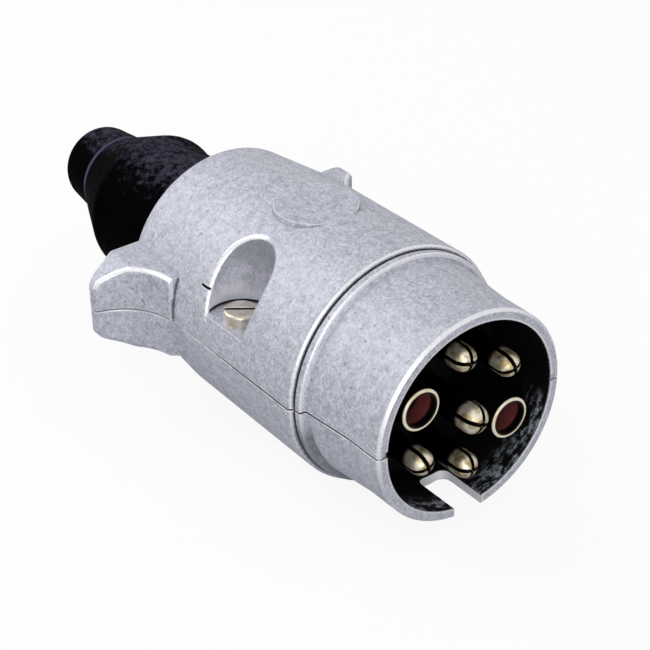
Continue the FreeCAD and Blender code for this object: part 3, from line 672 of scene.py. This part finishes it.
@dataclass(frozen=True)
class TurnedBrass(Finish):
    """Brass turned on a lathe: pale, bright, with fine rings, and painted shade where it is in
    shadow.

    The painted shade is black brown: it starts behind the tips and fills the slots.
    """

    bright: str = "#fff6de"
    warm: str = "#b8a47a"
    # painted shade, black brown
    painted_shade_black: str = "#020101"
    tip_x_mm: float = 0.3       # end of the contact
    bright_mm: float = 3.6      # length behind the tip that stays bright, before the painted shade
    fade_mm: float = 1.2
    patch_mm: float = 1.9       # warmer patches
    patch_levels: Range = (0.40, 0.64)
    slot_mm: float = 1.2        # how far painted shade reaches out of a slot
    slot_levels: Range = (0.93, 0.66)
    shine_mm: float = 1.6       # patches that are duller
    shine_levels: Range = (0.3, 0.46)
    ring_mm: float = 0.5        # spacing of the tool's rings
    ring_stretch: tuple[float, float, float] = (1.0, 0.12, 0.12)
    relief_mm: float = 0.01
    relief_share: float = 0.4
    rounding_mm: float = 0.1

    def body(self, patterns: Patterns) -> Socket:
        """Bright brass with painted black-brown shade behind the contact's tip and in its slots."""
        start = self.tip_x_mm - self.bright_mm
        patch = patterns.level(patterns.noise(self.patch_mm, 3.0, 0.55), *self.patch_levels)
        return patterns.coats(patterns.mix(patch, linear(self.bright), linear(self.warm)), (
            (patterns.ramp(patterns.parts()[0], start, start - self.fade_mm), self.painted_shade_black),
            (patterns.corners(self.slot_mm, self.slot_levels), self.painted_shade_black),
        ))

    def paint(self, patterns: Patterns, shader: bpy.types.Node) -> None:
        """The brass with the fine rings of its turning."""
        rings = patterns.noise(self.ring_mm, 2.0, 0.5, self.ring_stretch)
        patch = patterns.noise(self.shine_mm, 3.0, 0.6)
        self.put(patterns, shader, Base_Color=self.body(patterns),
                 Roughness=patterns.level(patch, *MIDDLE, *self.shine_levels),
                 Normal=patterns.bump(rings, self.relief_mm, self.relief_share,
                                      patterns.rounded(self.rounding_mm)))


@dataclass(frozen=True)
class TubeBrass(TurnedBrass):
    """The brass of a tube contact, with its bore painted behind its mouth: shade, maroon, shade."""

    bright: str = "#fff8e2"
    warm: str = "#f0e0b8"
    maroon: str = "#8c4646"
    centre_mm: tuple[float, float] = (0.0, 0.0)
    bore_r_mm: float = 3.1
    bore_blur_mm: Range = (0.12, 0.04)
    lip_mm: float = 0.3         # width of the painted shade on the inner lip of the tube's end
    lip_blur_mm: float = 0.08
    below_mm: Range = (0.05, 0.2)       # depths behind the tip where the bore starts
    maroon_mm: Range = (1.2, 1.8)       # where its black ring turns maroon
    deep_mm: Range = (4.4, 5.2)         # and where that turns black again

    def body(self, patterns: Patterns) -> Socket:
        """Bright brass outside, and rings of painted black shade, maroon and painted black shade down
        the bore.
        """
        along = patterns.parts()[0]
        off = patterns.off_axis(self.centre_mm)
        below_from, below_to = (self.tip_x_mm - depth for depth in self.below_mm)
        maroon_from, maroon_to = (self.tip_x_mm - depth for depth in self.maroon_mm)
        deep_from, deep_to = (self.tip_x_mm - depth for depth in self.deep_mm)
        bore_paint = patterns.mix(patterns.ramp(along, maroon_from, maroon_to), linear(self.painted_shade_black),
                             linear(self.maroon))
        bore_paint = patterns.coats(bore_paint, [(patterns.ramp(along, deep_from, deep_to), self.painted_shade_black)])
        bored = patterns.ramp(off, *(self.bore_r_mm + blur for blur in self.bore_blur_mm))
        lip_r = self.bore_r_mm + self.lip_mm
        lip = patterns.ramp(off, lip_r + self.lip_blur_mm, lip_r)
        colour = patterns.coats(super().body(patterns), [(lip, self.painted_shade_black)])
        return patterns.mix(patterns.both(bored, patterns.ramp(along, below_from, below_to)),
                            colour, bore_paint)


@dataclass(frozen=True)
class PlatedMetal(Finish):
    """Electroplated screws and clamp: a thin bright coat that follows the metal's tool marks."""

    bright: str = "#f4ecdf"
    warm: str = "#d6c7ad"
    # painted highlight on ridges
    painted_glint: str = "#fdfaf0"
    # painted shade in the slots
    slot: str = "#1b1612"
    patch_mm: float = 1.8       # warmer, duller patches
    patch_levels: Range = (0.35, 0.7)
    patch_rough: Range = (0.26, 0.42)
    ridge_mm: float = 0.25
    ridge_share: float = 0.7
    slot_mm: float = 0.9        # how far painted shade reaches out of a slot
    slot_levels: Range = (0.9, 0.6)
    mark_mm: float = 0.3        # tool marks
    relief_mm: float = 0.008
    relief_share: float = 0.4
    rounding_mm: float = 0.15

    def paint(self, patterns: Patterns, shader: bpy.types.Node) -> None:
        """Bright plating, clouded warmer in patches, painted highlights on ridges, painted shade in
        slots.
        """
        patch = patterns.noise(self.patch_mm, 3.0, 0.6)
        marks = patterns.noise(self.mark_mm, 2.0, 0.5)
        colour = patterns.mix(patterns.level(patch, *self.patch_levels), linear(self.bright),
                              linear(self.warm))
        colour = patterns.coats(colour, (
            (patterns.both(patterns.ridges(self.ridge_mm), self.ridge_share), self.painted_glint),
            (patterns.corners(self.slot_mm, self.slot_levels), self.slot),
        ))
        self.put(patterns, shader, Base_Color=colour,
                 Roughness=patterns.level(patch, *MIDDLE, *self.patch_rough),
                 Normal=patterns.bump(marks, self.relief_mm, self.relief_share,
                                      patterns.rounded(self.rounding_mm)))


@dataclass(frozen=True)
class MouldedInsulator(Finish):
    """Black phenolic moulding: dense, matt, with a faint grain from its wood-flour filler."""

    deep: str = "#020202"
    filler: str = "#08070a"
    speck_mm: float = 0.6
    speck_levels: Range = (0.45, 0.75)
    speck_rough: Range = (0.5, 0.7)
    relief_mm: float = 0.01
    relief_share: float = 0.4

    def paint(self, patterns: Patterns, shader: bpy.types.Node) -> None:
        """Matt black with specks of filler."""
        speck = patterns.noise(self.speck_mm, 2.0, 0.7)
        colour = patterns.mix(patterns.level(speck, *self.speck_levels), linear(self.deep),
                              linear(self.filler))
        self.put(patterns, shader, Base_Color=colour,
                 Roughness=patterns.level(speck, *MIDDLE, *self.speck_rough),
                 Normal=patterns.bump(speck, self.relief_mm, self.relief_share))


class Slot(Enum):
    """The record's material slots, each with the finish that it gets."""

    CAST = "cast_aluminium"
    RUBBER = "black_rubber"
    BRASS = "brass"
    PLATED_BRASS = "plated_brass"
    PLATED_STEEL = "plated_steel"
    INSULATOR = "black_insulator"


FINISHES: dict[Slot, Finish] = {
    Slot.CAST: CastAluminium("cast aluminium, tumbled", metallic=0.6),
    Slot.RUBBER: MouldedRubber("black rubber, moulded", specular=0.008),
    Slot.BRASS: TurnedBrass("brass, turned", metallic=0.8),
    Slot.PLATED_BRASS: PlatedMetal("brass, plated", metallic=1.0, bright="#e8dcb6"),
    Slot.PLATED_STEEL: PlatedMetal("steel, zinc plated", metallic=1.0),
    Slot.INSULATOR: MouldedInsulator("phenolic, moulded", specular=0.15),
}


@dataclass
class Housing:
    """The parts that are shown as their solids are: each gets the finish that its slot names."""

    record: dict
    pin_metallic: float = 0.8
    tube_metallic: float = 0.35
    tube_bright_mm: float = 0.12    # of a tube only the end face is bright; painted shade covers the rest
    tube_fade_mm: float = 0.3

    def contact_finish(self, mount: dict) -> Finish:
        """Gives a contact's own brass from its mount.

        Args:
            mount: the record's mount at the contact's end.

        Returns:
            The finish, with the bright length measured from this contact's tip.
        """
        name = mount["name"] + " brass"
        middle = np.array(mount["pos_m"]) / MM
        if mount["kind"] == "bore":
            return TubeBrass(name, metallic=self.tube_metallic,
                             tip_x_mm=middle[0] + mount["dims"]["length_mm"] / 2,
                             bright_mm=self.tube_bright_mm, fade_mm=self.tube_fade_mm,
                             centre_mm=(middle[1], middle[2]), bore_r_mm=mount["dims"]["r_mm"])
        box = frame["nodes"][mount["name"].removesuffix("_end")].bound_box
        return TurnedBrass(name, metallic=self.pin_metallic,
                           tip_x_mm=max(corner[0] for corner in box) / MM)

    def dress(self) -> None:
        """Assigns each node's material; a contact's is its own.

        The mount of the pin contact_pin_x is named contact_pin_x_end, and the mount of the tube
        contact_socket_x is named socket_x_bore.
        """
        shared = {slot: finish.material() for slot, finish in FINISHES.items()}
        own = {}
        for mount in self.record["mounts"]:
            if mount["name"].startswith(("contact_", "socket_")):
                node = mount["name"].removesuffix("_end").removesuffix("_bore")
                node = node.replace("socket_", "contact_socket_")
                own[node] = self.contact_finish(mount).material()
        for row in self.record["subparts"]:
            piece = frame["nodes"][row["node"]]
            piece.data.materials.clear()
            piece.data.materials.append(own.get(row["node"], shared[Slot(row["material_slot"])]))
            LOG.info("dressed %s in %s", row["node"], row["material_slot"])


@dataclass
class Boot:
    """The rubber boot, which leans down and to the -Y side, as soft rubber doesn't stand straight.

    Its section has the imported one's corners: place along the plug, radius and rounding. Two of the
    roundings outside are smaller than packed, before the cone (5.0 for 9.0) and in the crease (1.0
    for 1.2). Each slice across the axis is then shrunk a little and shifted along one line, so that
    its outline on that line's upper and lower side lies where the leaning rubber's does.
    """

    name: str = "leaning_boot"
    node: str = "cable_boot"
    body: str = "housing"
    corners_mm: tuple[tuple[float, float, float], ...] = (
        (-72.6, 11.0, 0.0), (-72.6, 17.4, 0.6), (-76.0, 17.4, 0.0),         # flange
        (-76.0, 13.1, 0.0), (-79.2, 13.1, 0.0),                             # rear opening
        (-79.2, 16.2, 0.8), (-104.2, 16.5, 5.0), (-118.6, 9.85, 1.0),       # full part and cone
        (-128.5, 8.85, 4.3), (-132.95, 5.0, 1.0), (-132.95, 3.7, 0.0),      # end
        (-116.95, 3.7, 0.0), (-116.5, 7.75, 1.0), (-104.2, 14.4, 6.9),      # bore and inside
        (-81.3, 14.1, 1.0), (-79.2, 11.0, 1.0),
    )
    lean_deg: float = 43.5      # the line that it leans along, up from +Y
    lean_mm: tuple[tuple[float, float, float], ...] = (
        (-80.5, 0.0, 0.0),      # place along the plug, change of the upper and of the lower side
        (-94.0, -1.7, 0.2),
        (-101.0, -1.9, 0.2),
        (-105.0, -1.0, 0.15),
        (-114.0, -0.55, 0.25),
        (-119.5, -0.2, 0.0),
        (-133.0, -0.1, -0.2),
    )
    blend_mm: float = 2.4       # length that each change is evened out over
    blend_places: int = 9       # and the number of places on it
    whole_r_mm: float = 9.0     # beyond this radius a slice shrinks by the whole change
    arc_deg: float = 6.0        # longest step round a rounding
    arc_steps: int = 2          # and the fewest of them
    step_mm: float = 0.9        # longest step along a straight part
    turns: int = 168            # sections round the axis
    sharp_deg: float = 30.0     # edges that bend more than this stay sharp

    def section(self) -> np.ndarray:
        """Rounds the section's corners and divides its straight parts.

        A rounding of radius r in a corner of half angle h starts r / tan h from the corner, and its
        centre lies r / sin h from it along the corner's middle line.

        Returns:
            Rows of place along the plug and radius, in mm, once round the closed section.
        """
        corners = np.array(self.corners_mm)
        rows = []
        for before, here, after in zip(np.roll(corners, 1, 0), corners, np.roll(corners, -1, 0)):
            place, radius = here[:2], here[2]
            if radius == 0:
                rows.append(place[None])
                continue
            back, on = (side[:2] - place for side in (before, after))
            back, on = back / np.linalg.norm(back), on / np.linalg.norm(on)
            half = math.acos(float(back @ on)) / 2
            middle = (back + on) / np.linalg.norm(back + on)
            centre = place + middle * radius / math.sin(half)
            start, end = (math.atan2(*(place + arm * radius / math.tan(half) - centre)[::-1])
                          for arm in (back, on))
            turn = (end - start + math.pi) % (2 * math.pi) - math.pi
            count = max(self.arc_steps, math.ceil(abs(math.degrees(turn)) / self.arc_deg))
            angles = start + turn * np.linspace(0.0, 1.0, count + 1)
            rows.append(centre + radius * np.column_stack([np.cos(angles), np.sin(angles)]))
        points = np.concatenate(rows)
        gaps = np.roll(points, -1, 0) - points
        counts = np.maximum(1, np.ceil(np.linalg.norm(gaps, axis=1) / self.step_mm)).astype(int)
        shares = np.concatenate([np.arange(count) / count for count in counts])[:, None]
        return np.repeat(points, counts, axis=0) + np.repeat(gaps, counts, axis=0) * shares

    def change(self, along: np.ndarray, column: int) -> np.ndarray:
        """Reads one column of the lean's table, evened out over blend_mm.

        Args:
            along: places along the plug, in mm.
            column: 1 for the upper side, 2 for the lower side.

        Returns:
            How far that side of the outline moves outwards at each place, in mm.
        """
        table = np.array(self.lean_mm)[::-1]
        offsets = np.linspace(-0.5, 0.5, self.blend_places) * self.blend_mm
        return np.mean([np.interp(along + offset, table[:, 0], table[:, column])
                        for offset in offsets], 0)

    def build(self) -> bpy.types.Object:
        """Turns the section about the plug's axis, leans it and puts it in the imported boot's place.

        Returns:
            The boot.
        """
        section = self.section()
        along, radius = section.T
        upper, lower = self.change(along, 1), self.change(along, 2)
        radius = radius + (upper + lower) / 2 * np.minimum(radius / self.whole_r_mm, 1.0)
        shift = (upper - lower) / 2
        lean = math.radians(self.lean_deg)
        angles = np.linspace(0.0, 2 * math.pi, self.turns, endpoint=False)[:, None]
        points = np.stack([
            np.broadcast_to(along, (self.turns, along.size)),
            np.cos(angles) * radius + shift * math.cos(lean),
            np.sin(angles) * radius + shift * math.sin(lean),
        ], axis=-1).reshape(-1, 3) * MM
        here = np.arange(self.turns * along.size).reshape(self.turns, along.size)
        onward, beside = np.roll(here, -1, 1), np.roll(here, -1, 0)
        faces = np.stack([here, onward, np.roll(onward, -1, 0), beside], -1).reshape(-1, 4)
        mesh = bpy.data.meshes.new(self.name)
        mesh.from_pydata(points.tolist(), [], faces.tolist())
        mesh.shade_smooth()
        mesh.set_sharp_from_angle(angle=math.radians(self.sharp_deg))
        mesh.materials.append(FINISHES[Slot.RUBBER].material())
        boot = bpy.data.objects.new(self.name, mesh)
        bpy.context.scene.collection.objects.link(boot)
        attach(boot, self.body)
        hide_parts(self.node)
        LOG.info("%s has %d faces", self.name, len(faces))
        return boot


@dataclass
class PhotoCamera:
    """The camera at the photograph's viewing angle, solved from the plug's own outlines."""

    name: str = "photo_camera"
    azimuth_deg: float = 53.30
    elevation_deg: float = 32.20
    roll_deg: float = -0.84
    focal_px: float = 1833.0
    shift_right_mm: float = 26.39   # where the frame's origin lies from the line of sight
    shift_up_mm: float = -16.69
    distance_mm: float = 330.0
    sensor_mm: float = 36.0
    clip_m: Range = (0.01, 20.0)

    def build(self) -> bpy.types.Object:
        """Makes the camera and its place.

        The camera's own axes are worked out as three unit arrows: back towards the camera, then
        right and up turned by the roll. Its place is what those arrows and the offsets give.

        Returns:
            The camera, made the scene's own.
        """
        az, el, roll = np.radians([self.azimuth_deg, self.elevation_deg, self.roll_deg])
        back = np.array([math.sin(az) * math.cos(el), -math.cos(az) * math.cos(el), math.sin(el)])
        level = np.array([math.cos(az), math.sin(az), 0.0])
        upright = np.cross(back, level)
        right = level * math.cos(roll) + upright * math.sin(roll)
        up = upright * math.cos(roll) - level * math.sin(roll)
        place = back * self.distance_mm - right * self.shift_right_mm - up * self.shift_up_mm
        data = bpy.data.cameras.new(self.name)
        data.sensor_width = self.sensor_mm
        data.lens = self.sensor_mm * self.focal_px / PHOTO_SIDE
        data.clip_start, data.clip_end = self.clip_m
        camera = bpy.data.objects.new(self.name, data)
        put_in_scene(camera, np.column_stack([right, up, back]), place)
        bpy.context.scene.camera = camera
        LOG.info("camera at %s mm", np.round(place, 1))
        return camera


@dataclass
class Lamp:
    """One soft box: a square lamp that faces the plug."""

    name: str
    place_mm: tuple[float, float, float]
    target_mm: tuple[float, float, float]
    side_mm: float
    watts: float

    def build(self) -> None:
        """Makes the lamp and turns its face to the target."""
        data = bpy.data.lights.new(self.name, "AREA")
        data.size = self.side_mm * MM
        data.energy = self.watts
        lamp = bpy.data.objects.new(self.name, data)
        back = np.array(self.place_mm, float) - np.array(self.target_mm, float)
        back /= np.linalg.norm(back)
        right = np.cross([0.0, 0.0, 1.0], back)
        right /= np.linalg.norm(right)
        turn = np.column_stack([right, np.cross(back, right), back])
        put_in_scene(lamp, turn, np.array(self.place_mm))


@dataclass
class Studio:
    """The pale floor, the white surroundings and the soft lamps."""

    floor_z_mm: float
    floor_side_mm: float = 6000.0
    white: str = "#ffffff"
    paint: str = "#f4f4f4"          # the floor as the camera sees it
    beside: str = "#b4b4b7"         # and as the plug's underside does
    glow: float = 0.9               # share of the floor's white that doesn't take the shadow
    surround: float = 0.70          # what the surroundings give to surfaces
    lamps: tuple[Lamp, ...] = (
        Lamp("key_lamp", (330.0, -480.0, 520.0), (-40.0, 0.0, 0.0), 400.0, 0.55),
        Lamp("mouth_lamp", (480.0, -250.0, 60.0), (0.0, 0.0, 0.0), 260.0, 1.1),
        Lamp("fill_lamp", (-420.0, -260.0, 380.0), (-60.0, 0.0, 0.0), 300.0, 1.0),
    )

    def build(self) -> None:
        """Makes the floor, the surroundings and the lamps."""
        self.floor()
        self.surroundings()
        for lamp in self.lamps:
            lamp.build()
        bpy.context.scene.view_settings.view_transform = "Standard"
        LOG.info("studio with floor at %.1f mm", self.floor_z_mm)

    def floor(self) -> None:
        """A square at the plug's lowest point, that glows a little so that its shadow is pale."""
        half = self.floor_side_mm * MM / 2
        corners = np.array([(-1, -1), (1, -1), (1, 1), (-1, 1)]) * half
        points = np.column_stack([corners, np.full(4, self.floor_z_mm * MM)])
        mesh = bpy.data.meshes.new("floor")
        mesh.from_pydata(points.tolist(), [], [(0, 1, 2, 3)])
        floor = bpy.data.objects.new("floor", mesh)
        bpy.context.scene.collection.objects.link(floor)
        material = bpy.data.materials.new("painted board, matt white")
        material.use_nodes = True
        tree = material.node_tree
        tree.nodes.clear()
        paths = add_node(tree, "LightPath")
        paint = Patterns(tree).mix(paths.outputs["Is Camera Ray"], linear(self.beside),
                                   linear(self.paint))
        board = add_node(tree, "BsdfDiffuse", {"Color": paint})
        glow = add_node(tree, "Emission", {"Color": linear(self.white), "Strength": 1.0})
        share = add_node(tree, "Math", {0: paths.outputs["Is Camera Ray"], 1: self.glow},
                         operation="MULTIPLY")
        mixed = add_node(tree, "MixShader", {0: share.outputs[0], 1: board.outputs[0],
                                             2: glow.outputs[0]})
        add_node(tree, "OutputMaterial", {"Surface": mixed.outputs[0]})
        mesh.materials.append(material)

    def surroundings(self) -> None:
        """White to the eye, and a soft even light on every surface."""
        world = bpy.data.worlds.new("white_studio")
        world.use_nodes = True
        tree = world.node_tree
        tree.nodes.clear()
        paths = add_node(tree, "LightPath")
        strength = add_node(tree, "MapRange", {"Value": paths.outputs["Is Camera Ray"],
                                               "To Min": self.surround, "To Max": 1.0})
        sky = add_node(tree, "Background", {"Color": linear(self.white),
                                            "Strength": strength.outputs[0]})
        add_node(tree, "OutputWorld", {"Surface": sky.outputs[0]})
        bpy.context.scene.world = world


def main() -> None:
    """Builds the camera, the plug and the studio in order."""
    logging.basicConfig(level=logging.INFO, format="%(name)s: %(message)s")
    PhotoCamera().build()
    Housing(frame["record"]).dress()
    Boot().build()
    Studio(CAD_BOX[0].z / MM).build()


if __name__ == "__main__":
    main()
